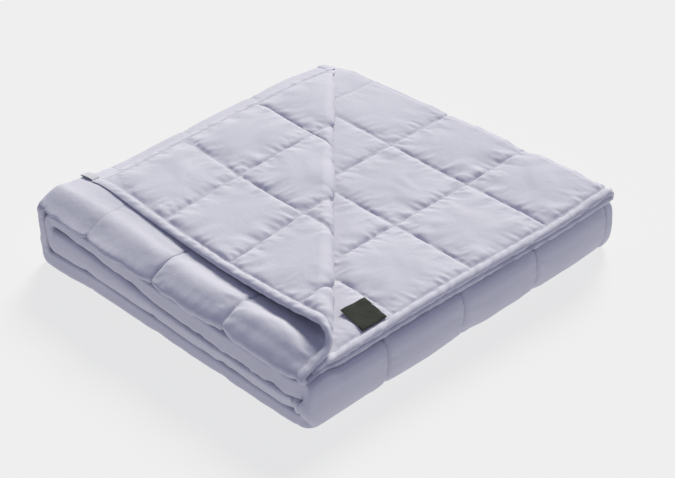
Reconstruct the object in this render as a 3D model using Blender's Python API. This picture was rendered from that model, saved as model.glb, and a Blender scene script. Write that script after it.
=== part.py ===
"""A weighted blanket, folded for storage, with one corner of its top leaf turned back.

The blanket is quilted in 12 x 16 squares and bound all round. It is folded in three across its width, like a
letter, which gives a strip of three leaves: LOWER, MIDDLE and UPPER. The strip is then rolled flat, in four
layers, with the upper leaf always outside. Last, the upper leaf's free corner is turned back over a diagonal.

Each piece is first made flat, on the cut blanket: X runs along its length from the end that shows, Y runs
across its width from the middle leaf's side, and Z is the distance from the leaf's middle plane. It is cut
where the cloth will bend, and then its points are carried through the folds. Metres, +Z up.
"""

import math
from collections import namedtuple

import bmesh
import bpy
import numpy as np

# The blanket as it is cut and sewn: 60 x 80 inches, in squares of about 5 inches.
LENGTH = 2.032
WIDTH = 1.524
BINDING = 0.012
SQUARES_LONG = 16
SQUARES_WIDE = 12
SQUARE_X = (LENGTH - 2 * BINDING) / SQUARES_LONG
SQUARE_Y = (WIDTH - 2 * BINDING) / SQUARES_WIDE

# Half thicknesses, from a leaf's middle plane.
LEAF = 0.0083  # from one leaf's middle plane to the next
PUFF = 0.0037
SEAM = 0.0009
TAPE_IN = 0.0013  # the binding's inner and outer faces
TAPE_OUT = 0.0022
CLEAR = 0.0003
SUNK = 0.00185  # how far the floor flattens the squares that lie on it

# The folded pack before it is centred: X 0 is the inner edge of the binding that shows, and Y 0 is a seam.
LEFT_X = -0.4850  # the outer face of the roll's left side
RIGHT_X = 0.0185  # the outer face of the roll's right side
FRONT_Y = -0.4070  # the outer face of the fold between the lower and the upper leaf
BACK_Y = 0.1075  # the outer face of the fold between the middle and the lower leaf
CENTRE_X = -0.2337
CENTRE_Y = -0.1484
MIDDLE_IN = 0.0070  # how far the middle leaf's edge stays out of the fold in front of it
NARROW = 0.026  # how much less deep the pack is at its left side than at its right

# The roll's sides: the strip stands there, pulled to this share of its thickness, and turns in tight bends.
THIN = 0.62
BEND = 0.0030  # the lower leaf's bend under and over the roll's flats, and next to the floor
LOW_BEND = 0.0090
ROLL_GAP = 0.0016
INNER_END = 0.0040  # how far the strip's inner end stays clear of the roll's right side

# The corner that is turned back, over a diagonal from the front right to the back left.
DIAGONAL = ((-0.0202, -0.3512), (-0.4529, 0.0640))  # where the upper leaf starts to turn: front and back
TURNS = (0.0130, 0.0052)  # the turn's radius at those two places
SETTLE = 0.090  # how far past the turn the flap comes down to rest
DRAG = (0.0233, 0.0273)  # how far its free corner stays behind: what grows evenly, and what grows as a square

# The inner fold is bulky and lifts the layers over it: height, lift at the roll's left side.
LIFTS = ((0.0, 0.0), (0.024, 0.006), (0.049, 0.014), (0.073, 0.012), (0.108, 0.000))
LIFT_X = (-0.14, -0.45)

FRONT_DROOP = 0.08  # the share of its height that the pack loses at its front, its back and its left side
BACK_DROOP = (0.08, -0.05)  # at the left and at the right end
LEFT_DROOP = 0.16
DROOP_REACH = (0.085, 0.130, 0.070)
TUCK = 0.009  # how deep the front face pulls in where the strip bends
TUCK_ALONG = 0.013
TUCK_REACH = 0.030

LABEL_AT = (0.0126, 0.0870)  # its near corner on the cut blanket
LABEL_SIZE = (0.0420, 0.0390)
LABEL_SKEW = 0.12
LABEL_THICK = 0.0009
LOOP_SIZE = (0.012, 0.023, 0.0120)  # along the end, outwards, and across its opening
LOOP_TAPE = 0.0012
LOOP_RISE = 0.0010  # how far the loop's middle lies over the flap's

COLOURS = {
    "quilted_shell": (0.600, 0.600, 0.685, 1.0),
    "binding": (0.575, 0.575, 0.665, 1.0),
    "side_label": (0.025, 0.028, 0.022, 1.0),
    "corner_loop": (0.620, 0.620, 0.680, 1.0),
}


def smooth(value, low, high):
    """0 at low and 1 at high, with no corner at either."""
    share = np.clip((value - low) / (high - low), 0, 1)
    return share * share * (3 - 2 * share)


# A stretch of a line: a run has a length; a bend has a radius and its quarter turns, positive to the left.
Stretch = namedtuple("Stretch", "length radius quarters")


def run(length):
    return Stretch(length, 0, 0)


def bend(radius, quarters):
    return Stretch(0, radius, quarters)


class Line:
    """A line of stretches in a plane. reach is how far outside the line its bends take their cloth."""

    def __init__(self, start, heading, stretches, reach=0.0):
        rows = []
        along = 0.0
        point = np.array(start, float)
        for length, radius, quarters in stretches:
            turn = quarters * math.pi / 2
            real = radius * abs(turn) if quarters else length
            cloth = (radius + reach) * abs(turn) if quarters else length
            curve = math.copysign(1 / radius, turn) if quarters else 0.0
            rows.append((along, point[0], point[1], heading, curve, real / cloth))
            if quarters:
                side = math.copysign(radius, turn)
                chord = (math.sin(heading + turn) - math.sin(heading), math.cos(heading) - math.cos(heading + turn))
                point = point + side * np.array(chord)
                heading += turn
            else:
                point = point + length * np.array([math.cos(heading), math.sin(heading)])
            along += cloth
        self.rows = np.array(rows)
        self.starts = [row[0] for row in rows] + [along]

    def at(self, distance):
        """Both coordinates and the heading, for each distance along the line."""
        index = np.searchsorted(self.starts[1:-1], distance, side="right")
        along, first, second, heading, curve, rate = np.moveaxis(self.rows[index], -1, 0)
        step = (distance - along) * rate
        turned = heading + curve * step
        bent = curve != 0
        safe = np.where(bent, curve, 1.0)
        first = first + np.where(bent, (np.sin(turned) - np.sin(heading)) / safe, step * np.cos(heading))
        second = second + np.where(bent, (np.cos(heading) - np.cos(turned)) / safe, step * np.sin(heading))
        return first, second, turned


def letter_fold():
    """Across the strip, from the middle leaf's side: Y, and the height over the lower leaf."""
    front = FRONT_Y + LEAF + PUFF
    back = BACK_Y - LEAF / 2 - PUFF
    middle = back - front - MIDDLE_IN
    lower = back - front
    upper = WIDTH - middle - lower - 1.5 * math.pi * LEAF
    stretches = (run(middle), bend(LEAF / 2, -2), run(lower), bend(LEAF, -2), run(upper))
    return Line((front + MIDDLE_IN, LEAF), 0.0, stretches)


def roll_fold():
    """The lower leaf's line through the roll, from the end that shows: X and Z."""
    wall = (2 * LEAF + PUFF) * THIN
    inner = PUFF * THIN + ROLL_GAP
    left = LEFT_X + wall
    right = RIGHT_X - wall
    loop = left + inner + wall + LEAF / 2
    top, second, third, bottom = (level * LEAF for level in (9.5, 6.5, 5.5, 2.5))
    stretches = (
        run(BINDING - left - BEND),
        bend(BEND, 1),
        run(top - bottom - BEND - LOW_BEND),
        bend(LOW_BEND, 1),
        run(right - left - 2 * LOW_BEND),
        bend(LOW_BEND, 1),
        run(second - bottom - BEND - LOW_BEND),
        bend(BEND, 1),
        run(right - BEND - loop),
        bend(LEAF / 2, 2),
        run(right - inner - loop - INNER_END),
    )
    return Line((BINDING, top), math.pi, stretches, reach=2 * LEAF * THIN)


ACROSS = letter_fold()
ALONG = roll_fold()
FIT = ALONG.starts[-1] / LENGTH
CORNERS = (1, 3, 5, 7)
UPPER_FROM = ACROSS.starts[4]
TOP_RUN = ALONG.starts[1]


def depth_lost(x, y):
    """How far the pack's taper moves a point towards the front."""
    front = FRONT_Y + LEAF + PUFF
    leftness = smooth(RIGHT_X - x, 0.15 * (RIGHT_X - LEFT_X), RIGHT_X - LEFT_X)
    return NARROW * leftness * np.maximum(y - front, 0) / (BACK_Y - front)


def on_strip(x, y):
    """The place along the roll and across the strip of a point of the cut blanket.

    The upper leaf went round the outside of the roll, so its end stays behind, most of all at its free corner.
    """
    share = np.clip((y - ACROSS.starts[3]) / (WIDTH - BINDING - ACROSS.starts[3]), 0, 1)
    behind = DRAG[0] * share + DRAG[1] * share**2
    along = x * FIT + behind * (1 - smooth(x, 2.5 * SQUARE_X, 6.5 * SQUARE_X))
    lost = depth_lost(ALONG.at(along)[0], ACROSS.at(y)[0])
    return along, np.where(y > UPPER_FROM, y - lost, y)


def diagonal_frame():
    """The diagonal's first place, its unit vectors past it and along it, and the length between its places."""
    front, back = (np.array(point) for point in DIAGONAL)
    length = float(np.hypot(*(back - front)))
    ahead = (back - front) / length
    return front, np.array([ahead[1], -ahead[0]]), ahead, length


DIAGONAL_START, PAST, BESIDE, DIAGONAL_LONG = diagonal_frame()


def turn_radius(beside):
    """The radius of the turned corner's fold at a place along the diagonal."""
    return TURNS[0] + (TURNS[1] - TURNS[0]) * np.clip(beside / DIAGONAL_LONG, -0.1, 1.0)


def turned_back(past, beside, off):
    """Where the turned corner comes: X, Y and its rise over the upper leaf."""
    radius = turn_radius(beside)
    turn = np.minimum(past / radius, math.pi)
    beyond = np.maximum(past - math.pi * radius, 0)
    reach = (radius - off) * np.sin(turn) - beyond
    rise = radius - (radius - off) * np.cos(turn)
    rise = rise - (2 * radius - LEAF) * (1 - np.exp(-beyond / SETTLE))
    x, y = (DIAGONAL_START[i] + reach * PAST[i] + beside * BESIDE[i] for i in (0, 1))
    return x, y, rise


def folded(points):
    """Carries points (along the roll, across the blanket, off the leaf) through all the folds."""
    along, across, off = points.T
    y, height, lean = ACROSS.at(across)
    flat_y = y
    y = y - off * np.sin(lean)
    height = height + off * np.cos(lean)
    x, z, heading = ALONG.at(along)
    x = x + THIN * height * np.sin(heading)
    z = z - height * np.cos(heading)

    apart = np.stack([BINDING - along, flat_y], axis=1) - DIAGONAL_START
    past, beside = apart @ PAST, apart @ BESIDE
    upper = across >= UPPER_FROM
    flap = upper & (along < TOP_RUN) & (past > 0)
    flap_x, flap_y, rise = turned_back(past, beside, off)
    y = np.where(upper, y, y - depth_lost(x, y))
    x = np.where(flap, flap_x, x)
    y = np.where(flap, flap_y, y)
    z = np.where(flap, ALONG.rows[0, 2] + 2 * LEAF + rise, z)

    corners = [(ALONG.starts[i] + ALONG.starts[i + 1]) / 2 for i in CORNERS]
    crease = sum(np.exp(-(((along - corner) / TUCK_ALONG) ** 2)) for corner in corners)
    y = y + TUCK * crease * (1 - smooth(y, FRONT_Y, FRONT_Y + TUCK_REACH))

    levels, lifts = zip(*LIFTS)
    z = z + np.interp(z, levels, lifts) * smooth(-x, -LIFT_X[0], -LIFT_X[1])
    right = np.clip((x - LEFT_X) / (RIGHT_X - LEFT_X), 0, 1)
    deep = (y - FRONT_Y) / (BACK_Y - FRONT_Y)
    droop = FRONT_DROOP * (1 - smooth(y - FRONT_Y, 0, DROOP_REACH[0]))
    droop = droop + (BACK_DROOP[0] * (1 - right) + BACK_DROOP[1] * right) * (1 - smooth(BACK_Y - y, 0, DROOP_REACH[1]))
    droop = droop + LEFT_DROOP * smooth(deep, 0.05, 0.5) * (1 - smooth(x - LEFT_X, 0, DROOP_REACH[2]))
    z = z - droop * np.maximum(z - LEAF, 0) - SUNK
    return np.stack([x - CENTRE_X, y - CENTRE_Y, np.maximum(z, 0)], axis=1)


def swell(share):
    """How full a square is at a share of its side: 0 at a seam and 1 at its middle."""
    return np.sin(math.pi * np.clip(share, 0, 1)) ** 0.6


def half_thickness(x, y):
    """Half the quilted cloth's thickness at a point of the cut blanket."""
    long = np.clip(x - BINDING, 0, SQUARES_LONG * SQUARE_X) / SQUARE_X
    wide = np.clip(y - BINDING, 0, SQUARES_WIDE * SQUARE_Y) / SQUARE_Y
    return SEAM + (PUFF - SEAM) * swell(long - np.floor(long)) * swell(wide - np.floor(wide))


def remove_all():
    """Starts from an empty file."""
    for old in list(bpy.data.objects):
        bpy.data.objects.remove(old, do_unlink=True)


def box(name, low, high):
    """A box between two corners."""
    middle = [(a + b) / 2 for a, b in zip(low, high)]
    bpy.ops.mesh.primitive_cube_add(size=1, location=middle)
    piece = bpy.context.object
    piece.name = name
    piece.data.name = name
    piece.scale = [b - a for a, b in zip(low, high)]
    bpy.ops.object.transform_apply(location=True, rotation=True, scale=True)
    return piece


def round_edges(piece, width, segments, along=None):
    """Rounds a box's edges, or only those that run along one axis."""
    form = bmesh.new()
    form.from_mesh(piece.data)
    edges = form.edges[:]
    if along is not None:
        edges = [e for e in edges if abs((e.verts[0].co - e.verts[1].co).normalized()[along]) > 0.99]
    bmesh.ops.bevel(form, geom=edges, offset=width, segments=segments, affect="EDGES", profile=0.5)
    form.to_mesh(piece.data)
    form.free()


def take_away(piece, cutter):
    """Cuts one solid out of another and clears the cutter away."""
    cutter.hide_render = True
    cutter.display_type = "WIRE"
    change = piece.modifiers.new("cut", "BOOLEAN")
    change.operation = "DIFFERENCE"
    change.solver = "EXACT"
    change.object = cutter
    bpy.context.view_layer.objects.active = piece
    bpy.ops.object.modifier_apply(modifier=change.name)
    bpy.data.objects.remove(cutter, do_unlink=True)


def slice_at(form, point, normal, where=None):
    """Cuts the faces along a plane, all of them or those whose middles pass a test."""
    faces = [f for f in form.faces if where is None or where(f.calc_center_median())]
    parts = set(faces)
    for face in faces:
        parts.update(face.edges)
        parts.update(face.verts)
    bmesh.ops.bisect_plane(form, geom=list(parts), dist=1e-6, plane_co=point, plane_no=normal)


def slice_long(form, places, where=None):
    for place in places:
        slice_at(form, (place, 0, 0), (1, 0, 0), where)


def slice_wide(form, places, where=None):
    for place in places:
        slice_at(form, (0, place, 0), (0, 1, 0), where)


def steps(line, index, count):
    """Places that divide one of a line's pieces, its two ends with them."""
    return np.linspace(line.starts[index], line.starts[index + 1], count + 1)


def shares(first, last, parts, size):
    """Places at the same shares of each square from first to last."""
    return [BINDING + (square + part) * size for square in range(first, last) for part in parts]


def is_long(place, first, last):
    """Whether a place lies between two seams along the blanket."""
    return first * SQUARE_X < place.x - BINDING < last * SQUARE_X


def is_wide(place, first, last):
    return first * SQUARE_Y < place.y - BINDING < last * SQUARE_Y


def is_upper(place):
    return place.y > UPPER_FROM


def is_floor(place):
    return is_long(place, 4, 8) and is_wide(place, 8, 12)


def slice_squares(form):
    """Cuts the blanket at its seams, and inside its squares: more often where they show or lie flat."""
    seams, middles, rims = (0,), (0.5,), (0.22, 0.78)
    slice_long(form, shares(0, SQUARES_LONG + 1, seams, SQUARE_X))
    slice_wide(form, shares(0, SQUARES_WIDE + 1, seams, SQUARE_Y))
    slice_long(form, shares(0, SQUARES_LONG, middles, SQUARE_X), lambda place: not is_floor(place))
    slice_wide(form, shares(0, SQUARES_WIDE, middles, SQUARE_Y), lambda place: not is_floor(place))
    fine = lambda place: is_floor(place) or is_long(place, 0, 4) and not is_wide(place, 4, 8)
    slice_long(form, shares(0, 8, rims, SQUARE_X), fine)
    slice_wide(form, shares(0, SQUARES_WIDE, rims, SQUARE_Y), fine)


def slice_folds(form):
    """Cuts a piece where the folds will bend it, once its X is the place along the roll."""
    for index in CORNERS:
        slice_long(form, steps(ALONG, index, 2))
    slice_long(form, steps(ALONG, 9, 4))
    slice_wide(form, steps(ACROSS, 1, 3))
    slice_wide(form, steps(ACROSS, 3, 4))
    slice_wide(form, [UPPER_FROM + 0.02, UPPER_FROM + 0.05])
    on_top = lambda place: is_upper(place) and place.x < TOP_RUN
    level = ACROSS.rows[4, 1]
    for angle in (0, 0.25, 0.5, 0.75, 1):
        ends = []
        for beside in (0, DIAGONAL_LONG):
            place = DIAGONAL_START + beside * BESIDE + turn_radius(beside) * angle * math.pi * PAST
            ends.append((BINDING - place[0], place[1] - level + UPPER_FROM))
        (first_x, first_y), (last_x, last_y) = ends
        slice_at(form, (first_x, first_y, 0), (last_y - first_y, first_x - last_x, 0), on_top)


def fold(piece, relief=None):
    """Gives a flat piece its relief, cuts it for the folds and carries it through them."""
    form = bmesh.new()
    form.from_mesh(piece.data)
    if relief:
        relief(form)
    points = np.array([v.co[:] for v in form.verts])
    for vert, along, across in zip(form.verts, *on_strip(points[:, 0], points[:, 1])):
        vert.co.x, vert.co.y = along, across
    slice_folds(form)
    points = folded(np.array([v.co[:] for v in form.verts]))
    for vert, point in zip(form.verts, points):
        vert.co = point
    bmesh.ops.reverse_faces(form, faces=form.faces[:])
    bmesh.ops.triangulate(form, faces=form.faces[:])
    form.to_mesh(piece.data)
    form.free()


def quilt(form):
    """Raises the squares of a flat slab on both its sides."""
    slice_squares(form)
    for vert in form.verts:
        vert.co.z = math.copysign(float(half_thickness(vert.co.x, vert.co.y)), vert.co.z)


def dress(piece):
    """Gives a piece its own plain material, named as its node."""
    shade = bpy.data.materials.new(piece.name)
    shade.use_nodes = True
    plain = shade.node_tree.nodes["Principled BSDF"]
    plain.inputs["Base Color"].default_value = COLOURS[piece.name]
    plain.inputs["Roughness"].default_value = 0.85
    piece.data.materials.clear()
    piece.data.materials.append(shade)


def quilted_shell():
    """The two faces of cloth with their filling, quilted in squares."""
    piece = box("quilted_shell", (0, 0, -SEAM), (LENGTH, WIDTH, SEAM))
    fold(piece, quilt)
    return piece


def binding():
    """The tape folded over the blanket's edge, all the way round."""
    edge = CLEAR + TAPE_OUT - TAPE_IN
    piece = box("binding", (-edge, -edge, -TAPE_OUT), (LENGTH + edge, WIDTH + edge, TAPE_OUT))
    round_edges(piece, 0.0010, 1)
    room = (CLEAR, CLEAR, TAPE_IN)
    take_away(piece, box("room", (-room[0], -room[1], -room[2]), (LENGTH + room[0], WIDTH + room[1], room[2])))
    inset = BINDING
    take_away(piece, box("window", (inset, inset, -0.1), (LENGTH - inset, WIDTH - inset, 0.1)))

    fold(piece, slice_squares)
    return piece


def side_label():
    """The sewn-on label, which lies on the middle leaf against the binding."""
    low = (*LABEL_AT, 0.0)
    high = (LABEL_AT[0] + LABEL_SIZE[0], LABEL_AT[1] + LABEL_SIZE[1], LABEL_THICK)
    piece = box("side_label", low, high)

    def laid(form):
        slice_long(form, shares(0, 1, (0.11, 0.22, 0.36), SQUARE_X))
        slice_wide(form, shares(0, 1, (0.78,), SQUARE_Y))
        for vert in form.verts:
            vert.co.y += LABEL_SKEW * (vert.co.x - LABEL_AT[0])
            vert.co.z += float(half_thickness(vert.co.x, vert.co.y)) + CLEAR + 0.0002

    fold(piece, laid)
    return piece


def corner_loop():
    """A loop of tape at the turned corner, to tie the blanket into a cover."""
    deep, out, high = LOOP_SIZE
    start = WIDTH + CLEAR + TAPE_OUT - TAPE_IN + CLEAR
    low = (0.0010, start, -high / 2 - LOOP_RISE)
    top = (0.0010 + deep, start + out, high / 2 - LOOP_RISE)
    piece = box("corner_loop", low, top)
    round_edges(piece, high * 0.48, 3, along=0)
    low_hole = (-0.01, low[1] + LOOP_TAPE, low[2] + LOOP_TAPE)
    hole = box("hole", low_hole, (top[0] + 0.01, top[1] - LOOP_TAPE, top[2] - LOOP_TAPE))
    round_edges(hole, (high / 2 - LOOP_TAPE) * 0.95, 3, along=0)
    take_away(piece, hole)
    fold(piece)
    return piece


def build():
    """Makes the pieces, and puts them in a collection of their own."""
    remove_all()
    folder = bpy.data.collections.new("weighted_blanket")
    bpy.context.scene.collection.children.link(folder)
    for piece in (quilted_shell(), binding(), side_label(), corner_loop()):
        dress(piece)
        for other in list(piece.users_collection):
            other.objects.unlink(piece)
        folder.objects.link(piece)


build()
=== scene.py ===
# %% [markdown]
# # A folded weighted blanket
# A weighted blanket is two faces of cloth with beads and fibre between them. Rows of stitching part the
# filling into squares, and a tape binds the raw edge. Here it lies folded for storage: in three across its
# width, like a letter, then rolled flat, with one corner of the outermost leaf turned back.
#
# It is built the way such a blanket is made. Every piece is laid out flat, at its cut size, and a few
# functions then carry its points through the folds. So a seam drawn straight on the flat cloth ends up where
# sewing would put it.

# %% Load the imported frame
import math
from collections import namedtuple

import bpy
import numpy as np
from mathutils import Euler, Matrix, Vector


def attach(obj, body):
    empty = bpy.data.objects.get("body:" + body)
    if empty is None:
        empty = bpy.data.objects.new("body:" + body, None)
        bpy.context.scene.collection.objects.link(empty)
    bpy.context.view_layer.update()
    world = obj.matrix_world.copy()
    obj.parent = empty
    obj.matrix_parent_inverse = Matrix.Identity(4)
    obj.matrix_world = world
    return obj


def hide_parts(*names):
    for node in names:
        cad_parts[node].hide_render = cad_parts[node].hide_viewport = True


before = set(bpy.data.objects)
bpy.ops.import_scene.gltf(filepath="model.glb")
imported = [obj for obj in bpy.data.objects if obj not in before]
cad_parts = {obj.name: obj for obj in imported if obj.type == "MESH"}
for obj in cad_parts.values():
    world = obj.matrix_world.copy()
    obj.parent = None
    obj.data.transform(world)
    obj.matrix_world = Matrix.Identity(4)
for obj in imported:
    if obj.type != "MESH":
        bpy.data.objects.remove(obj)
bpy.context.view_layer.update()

# %% [markdown]
# ## Sizes of the cut blanket
# All lengths are in metres. The blanket is 60 x 80 inches in squares of about 5 inches. The flat plan has X
# along the blanket's length, from the end that shows, Y across its width, and Z off the cloth.

# %% Cut sizes
LENGTH, WIDTH = 2.032, 1.524
BINDING = 0.012
SQUARES_LONG, SQUARES_WIDE = 16, 12
SQUARE_X = (LENGTH - 2 * BINDING) / SQUARES_LONG
SQUARE_Y = (WIDTH - 2 * BINDING) / SQUARES_WIDE
LEAF = 0.0083  # from one leaf's middle plane to the next
PUFF = 0.0037  # half a filled square's thickness inside the pack
SEAM = 0.0008  # half the thickness at a seam
SUNK = 0.00185  # how far the floor flattens what lies on it
SEAMS_X = BINDING + SQUARE_X * np.arange(SQUARES_LONG + 1)
SEAMS_Y = BINDING + SQUARE_Y * np.arange(SQUARES_WIDE + 1)
FRONT_SEAM = 8  # the row that comes to lie on the pack's front edge
SEAMS_Y[FRONT_SEAM] -= 0.018  # it was sewn a little off, and lies low there
print("one square is", round(SQUARE_X * 1000, 1), "x", round(SQUARE_Y * 1000, 1), "mm")

# %% [markdown]
# ## Unevenness
# Cloth is never even, so puckers and creases come from smooth noise: a lattice of random heights with soft
# steps between them. Its seed is fixed, so that the blanket is the same each time.

# %% Smooth noise on the flat plan
LATTICE_SIDE = 256
LATTICE = np.random.default_rng(7).uniform(-1, 1, (LATTICE_SIDE, LATTICE_SIDE))


def noise(u, v):
    """Smooth noise from -1 to 1, with one hill or hollow to a unit."""
    column, row = np.floor(u).astype(int), np.floor(v).astype(int)
    across, down = u - column, v - row
    across, down = across * across * (3 - 2 * across), down * down * (3 - 2 * down)

    def between(row):
        near = LATTICE[column % LATTICE_SIDE, row % LATTICE_SIDE]
        far = LATTICE[(column + 1) % LATTICE_SIDE, row % LATTICE_SIDE]
        return near * (1 - across) + far * across

    return between(row) * (1 - down) + between(row + 1) * down


# %% [markdown]
# ## Lines that the cloth follows
# A fold is a line in a plane, made of straight runs and round bends. `Line.at` tells where a place along the
# cloth comes to. One line serves the letter fold and another the flat roll, so two short tables hold the
# whole form.

# %% A line of runs and bends
Stretch = namedtuple("Stretch", "length radius quarters")


def smooth(value, low, high):
    share = np.clip((value - low) / (high - low), 0, 1)
    return share * share * (3 - 2 * share)


def run(length):
    return Stretch(length, 0, 0)


def bend(radius, quarters):
    return Stretch(0, radius, quarters)


class Line:
    """A line of stretches. reach is how far outside the line its bends take their cloth."""

    def __init__(self, start, heading, stretches, reach=0.0):
        rows = []
        along = 0.0
        point = np.array(start, float)
        for length, radius, quarters in stretches:
            turn = quarters * math.pi / 2
            real = radius * abs(turn) if quarters else length
            cloth = (radius + reach) * abs(turn) if quarters else length
            curve = math.copysign(1 / radius, turn) if quarters else 0.0
            rows.append((along, point[0], point[1], heading, curve, real / cloth))
            if quarters:
                after = heading + turn
                side = math.copysign(radius, turn)
                chord = (math.sin(after) - math.sin(heading), math.cos(heading) - math.cos(after))
                point = point + side * np.array(chord)
                heading = after
            else:
                point = point + length * np.array([math.cos(heading), math.sin(heading)])
            along += cloth
        self.rows = np.array(rows)
        self.starts = [row[0] for row in rows] + [along]
        self.bends = [(self.starts[i], self.starts[i + 1]) for i, row in enumerate(rows) if row[4]]

    def stretch(self, distance):
        """What the stretch that each distance falls in starts with, column by column."""
        index = np.searchsorted(self.starts[1:-1], distance, side="right")
        return np.moveaxis(self.rows[index], -1, 0)

    def at(self, distance):
        """Both coordinates and the heading, for each distance along the line."""
        along, first, second, heading, curve, rate = self.stretch(distance)
        step = (distance - along) * rate
        turned = heading + curve * step
        bent = curve != 0
        safe = np.where(bent, curve, 1.0)
        first = first + np.where(bent, (np.sin(turned) - np.sin(heading)) / safe, step * np.cos(heading))
        second = second + np.where(bent, (np.cos(heading) - np.cos(turned)) / safe, step * np.sin(heading))
        return first, second, turned

    def squared(self, distance, first, second, squareness):
        """Presses points that went round a bend from a round path towards a square one."""
        along, start_first, start_second, heading, curve, rate = self.stretch(distance)
        bent = curve != 0
        turned = heading + curve * (distance - along) * rate
        power = np.where(bent, squareness, 2.0)
        side = np.abs(np.sin(turned)) ** power + np.abs(np.cos(turned)) ** power
        share = np.where(bent, side ** (-1 / power), 1.0)
        safe = np.where(bent, curve, 1.0)
        centre = start_first - np.sin(heading) / safe, start_second + np.cos(heading) / safe
        return centre[0] + (first - centre[0]) * share, centre[1] + (second - centre[1]) * share

    def beyond_bend(self, distance):
        """How far each place lies outside the nearest bend: 0 inside one."""
        gaps = [np.maximum(first - distance, distance - last) for first, last in self.bends]
        return np.maximum(np.min(gaps, axis=0), 0)


# %% [markdown]
# ## The letter fold and the flat roll
# Across its width the blanket makes a middle leaf, a narrow turn, a lower leaf, a wide turn and an upper
# leaf. Along its length that strip goes over the pack, down its left side, under it, up its right side and
# in between, where it turns once more.

# %% The two folds
LEFT_X, RIGHT_X = -0.4850, 0.0185
FRONT_Y, BACK_Y = -0.4070, 0.1075
CENTRE_X, CENTRE_Y = -0.2337, -0.1484
MIDDLE_IN = 0.0070  # how far the middle leaf's edge stays out of the fold in front of it
NARROW = 0.026  # how much less deep the pack is at its left side than at its right
NARROW_FROM = 0.15  # the share of the pack's length, from its right side, where that starts
THIN = 0.62  # the strip is pulled to this share of its thickness where it stands
BEND = 0.0030
LOW_BEND = 0.0090
ROLL_GAP = 0.0016
INNER_END = 0.0040


def letter_fold():
    front = FRONT_Y + LEAF + PUFF
    back = BACK_Y - LEAF / 2 - PUFF
    middle = back - front - MIDDLE_IN
    lower = back - front
    upper = WIDTH - middle - lower - 1.5 * math.pi * LEAF
    stretches = (run(middle), bend(LEAF / 2, -2), run(lower), bend(LEAF, -2), run(upper))
    return Line((front + MIDDLE_IN, LEAF), 0.0, stretches)


def roll_fold():
    wall = (2 * LEAF + PUFF) * THIN
    inner = PUFF * THIN + ROLL_GAP
    left, right = LEFT_X + wall, RIGHT_X - wall
    loop = left + inner + wall + LEAF / 2
    top, second, bottom = (level * LEAF for level in (9.5, 6.5, 2.5))
    stretches = (
        run(BINDING - left - BEND),
        bend(BEND, 1),
        run(top - bottom - BEND - LOW_BEND),
        bend(LOW_BEND, 1),
        run(right - left - 2 * LOW_BEND),
        bend(LOW_BEND, 1),
        run(second - bottom - BEND - LOW_BEND),
        bend(BEND, 1),
        run(right - BEND - loop),
        bend(LEAF / 2, 2),
        run(right - inner - loop - INNER_END),
    )
    return Line((BINDING, top), math.pi, stretches, reach=2 * LEAF * THIN)


ACROSS, ALONG = letter_fold(), roll_fold()
FIT = ALONG.starts[-1] / LENGTH
UPPER_FROM = ACROSS.starts[4]
TOP_RUN = ALONG.starts[1]
print("the roll takes", round(ALONG.starts[-1], 3), "m of strip")

# %% [markdown]
# ## The corner that is turned back
# The upper leaf's free corner turns over a diagonal. Past the turn it lies face down on what is left of the
# upper leaf, which it reaches in a long soft slope. The leaf's end has also slipped back a little, because it
# went round the outside of the roll.

# %% The turned corner
DIAGONAL = ((-0.0202, -0.3512), (-0.4529, 0.0640))  # where the leaf starts to turn: front and back
TURNS = (0.0130, 0.0052)  # the turn's radius at those two points
TURN_SHARE = (-0.1, 1.0)  # the stretch of the diagonal, as shares, in which the radius changes
SETTLE = 0.090  # the run past the turn in which the corner makes most of its way down
DRAG = (0.0233, 0.0273)  # how far the free corner stays behind: what grows evenly, and as a square
DRAG_SQUARES = (2.5, 6.5)  # the squares along the blanket between which that fades
DIAGONAL_START = np.array(DIAGONAL[0])
DIAGONAL_LONG = math.dist(*DIAGONAL)
BESIDE = (np.array(DIAGONAL[1]) - DIAGONAL_START) / DIAGONAL_LONG
PAST = np.array([BESIDE[1], -BESIDE[0]])


def depth_lost(x, y):
    """How far the pack's taper moves a point towards the front."""
    front = FRONT_Y + LEAF + PUFF
    leftness = smooth(RIGHT_X - x, NARROW_FROM * (RIGHT_X - LEFT_X), RIGHT_X - LEFT_X)
    return NARROW * leftness * np.maximum(y - front, 0) / (BACK_Y - front)


def on_strip(x, y):
    """The place along the roll and across the strip of a point of the flat plan."""
    share = np.clip((y - ACROSS.starts[3]) / (WIDTH - BINDING - ACROSS.starts[3]), 0, 1)
    behind = DRAG[0] * share + DRAG[1] * share**2
    along = x * FIT + behind * (1 - smooth(x, *(squares * SQUARE_X for squares in DRAG_SQUARES)))
    lost = depth_lost(ALONG.at(along)[0], ACROSS.at(y)[0])
    return along, np.where(y > UPPER_FROM, y - lost, y)


def beside_diagonal(x, y):
    """How far a point lies past the diagonal, and along it."""
    apart = np.stack([x, y], axis=-1) - DIAGONAL_START
    return apart @ PAST, apart @ BESIDE


def mirrored(past, beside):
    """The point that the turned corner would lay on this one: X and Y before it was turned."""
    return DIAGONAL_START[:, None] - past * PAST[:, None] + beside * BESIDE[:, None]


def turned_back(past, beside, off):
    """Where the turned corner comes: X, Y and its rise over the upper leaf."""
    radius = TURNS[0] + (TURNS[1] - TURNS[0]) * np.clip(beside / DIAGONAL_LONG, *TURN_SHARE)
    turn = np.minimum(past / radius, math.pi)
    beyond = np.maximum(past - math.pi * radius, 0)
    reach = (radius - off) * np.sin(turn) - beyond
    rise = radius - (radius - off) * np.cos(turn)
    rise = rise - (2 * radius - LEAF) * (1 - np.exp(-beyond / SETTLE))
    x, y = (DIAGONAL_START[i] + reach * PAST[i] + beside * BESIDE[i] for i in (0, 1))
    return x, y, rise


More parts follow.
